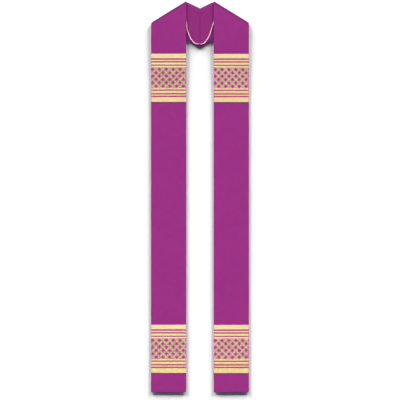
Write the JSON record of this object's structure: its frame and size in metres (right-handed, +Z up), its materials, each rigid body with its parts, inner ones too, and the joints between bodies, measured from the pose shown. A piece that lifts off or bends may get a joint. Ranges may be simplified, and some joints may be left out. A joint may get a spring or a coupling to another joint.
{
  "type": "clerical stole",
  "caption": "Long clerical stole laid flat: two straight fronts joined at the back of the neck, with ornament bands and a neck chain.",
  "frame": {"origin": "On the surface that the stole lies on, at the middle of its outline.", "axes": "+Y along the stole towards the neck, +X across it to the viewer's right as it lies face up, +Z up."},
  "size_m": [0.3312, 1.3118, 0.0074],
  "materials": {
    "cloth": "woven purple cloth, matt with a faint sheen",
    "lining": "purple lining cloth, a little darker and smoother than the face",
    "band": "cream and gold ribbed braid with magenta lines and a basket lattice",
    "chain": "fine pale rose-gold chain, polished",
    "clasp": "dark antique brass, worn bright on its edges"
  },
  "bodies": {
    "root": {"face_left": "cloth", "face_right": "cloth", "lining_left": "lining", "lining_right": "lining", "band_upper_left": "band", "band_upper_right": "band", "band_lower_left": "band", "band_lower_right": "band", "chain_ring_left": "chain", "chain_ring_right": "chain", "neck_chain_left": "chain", "neck_chain_right": "chain", "clasp_hook": "clasp", "clasp_ring": "clasp"}
  },
  "joints": []
}
